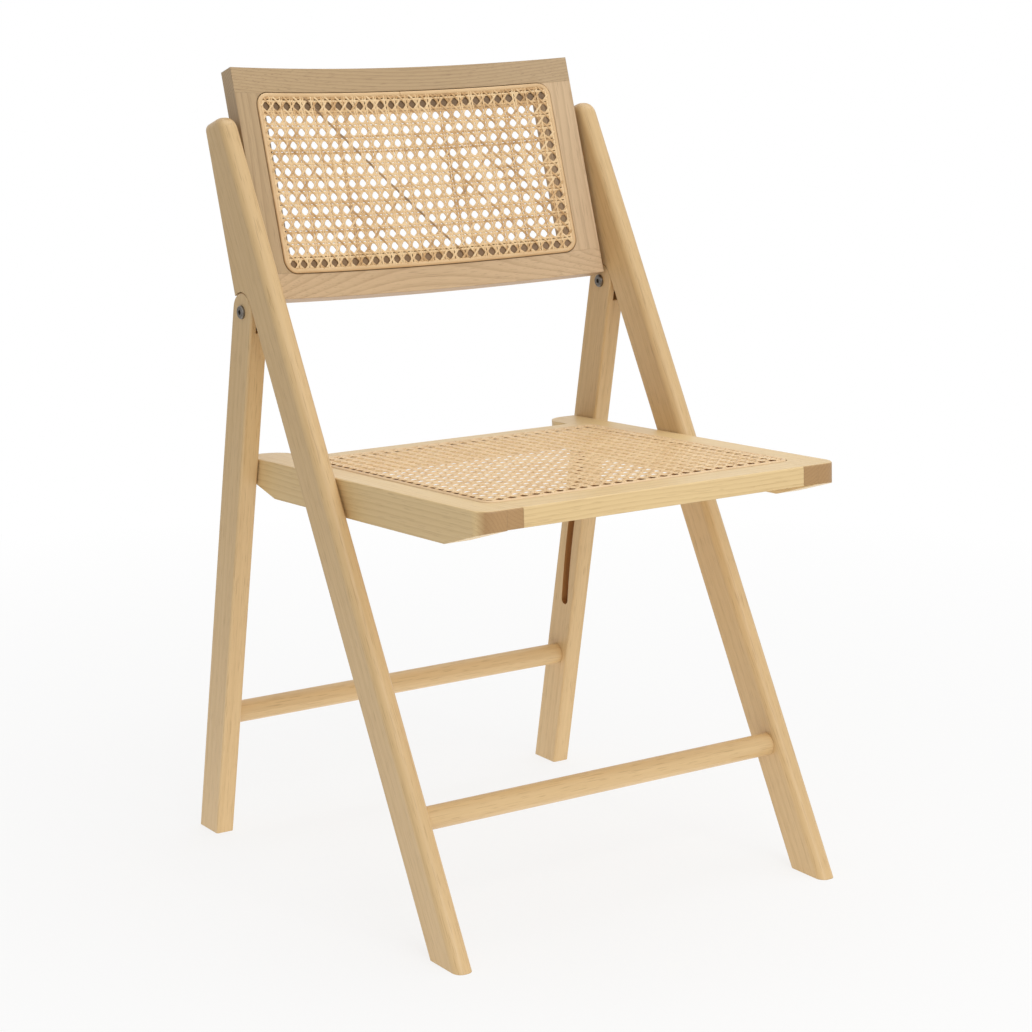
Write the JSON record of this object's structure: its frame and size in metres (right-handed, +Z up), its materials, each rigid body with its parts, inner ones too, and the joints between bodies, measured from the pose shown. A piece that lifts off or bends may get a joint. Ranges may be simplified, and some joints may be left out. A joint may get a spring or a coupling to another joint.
{
  "type": "folding cane chair",
  "caption": "Wooden folding chair with a caned seat and a curved caned backrest; the seat tips up as the grooved rear legs swing in against the front legs.",
  "frame": {"origin": "centre of the bounding box on the floor", "axes": "+Z up; the chair faces -Y; X runs across the chair, +X on the left hand of someone who sits in it"},
  "size_m": [0.4656, 0.5278, 0.8104],
  "materials": {
    "leg_wood": "pale straw lacquered hardwood",
    "seat_wood": "pale straw lacquered hardwood",
    "back_wood": "greyer brown lacquered hardwood with open grain",
    "cane": "natural woven cane, slightly glossy",
    "reed_spline": "natural reed",
    "dowel_wood": "plain beech dowel",
    "steel": "dull zinc-plated steel"
  },
  "bodies": {
    "front_frame": {"front_leg_left": "leg_wood", "front_leg_right": "leg_wood", "front_rung": "leg_wood", "back_top_rail": "back_wood", "back_bottom_rail": "back_wood", "back_stile_left": "back_wood", "back_stile_right": "back_wood", "back_cane": "cane", "back_spline": "reed_spline", "back_dowels": "dowel_wood", "back_leg_dowels": "dowel_wood"},
    "rear_frame": {"rear_leg_left": "leg_wood", "rear_leg_right": "leg_wood", "rear_rung": "leg_wood", "pivot_bolts": "steel", "pivot_cap_nuts": "steel"},
    "seat": {"seat_side_rail_left": "seat_wood", "seat_side_rail_right": "seat_wood", "seat_inner_strip_left": "seat_wood", "seat_inner_strip_right": "seat_wood", "seat_front_rail": "seat_wood", "seat_rear_rail": "seat_wood", "seat_dowels": "dowel_wood", "seat_cane": "cane", "seat_spline": "reed_spline", "seat_pivot_pins": "steel", "seat_slide_pins": "steel"}
  },
  "joints": [
    {"name": "seat_fold", "type": "hinge", "parent": "front_frame", "child": "seat", "pos_m": [0, -0.001, 0.41453], "axis": [-1, 0, 0], "range_deg": [0, 100.1]},
    {"name": "rear_leg_swing", "type": "hinge", "parent": "front_frame", "child": "rear_frame", "pos_m": [0, 0.13753, 0.572], "axis": [-1, 0, 0], "range_deg": [0, 39.66]}
  ],
  "couplings": [
    {"joint": "rear_leg_swing", "follows": "seat_fold", "ratio": 0.39623}
  ]
}
